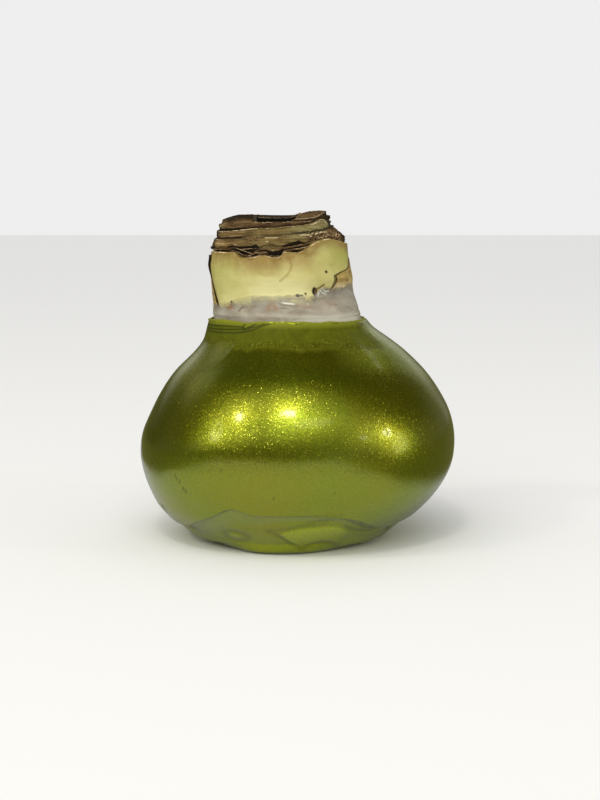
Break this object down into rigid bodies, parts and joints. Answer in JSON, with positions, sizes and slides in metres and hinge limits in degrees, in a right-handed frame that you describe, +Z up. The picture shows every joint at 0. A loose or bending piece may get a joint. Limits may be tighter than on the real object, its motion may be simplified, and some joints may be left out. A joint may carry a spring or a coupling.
{
  "type": "waxed amaryllis bulb",
  "caption": "Squat bulb dipped in glossy wax, with a cut neck of nested dry scales; it stands upright on its flattened wax base.",
  "frame": {"origin": "on the surface that the bulb stands on, under the middle of the bulb's outline", "axes": "+Z up the bulb towards its cut neck; -Y is the side shown in front; +X is to the right seen from the front"},
  "size_m": [0.0978, 0.0936, 0.1014],
  "materials": {
    "green_wax": "glossy metallic yellow-green wax",
    "pale_wax": "thin cloudy wax, satin",
    "bulb_flesh": "smooth, slightly waxy",
    "old_scale": "dry, matt",
    "papery_scale": "dry, matt",
    "cut_scale": "dry, matt",
    "core": "dry, rough"
  },
  "bodies": {
    "root": {"wax_coat": "green_wax", "wax_undercoat_band": "pale_wax", "bulb": "bulb_flesh", "outer_scale_back": "old_scale", "papery_scale_front": "papery_scale", "papery_scale_inner": "papery_scale", "fleshy_scale_outer": "cut_scale", "fleshy_scale_inner": "cut_scale", "thin_brown_scale": "papery_scale", "core_scales": "core"}
  },
  "joints": []
}
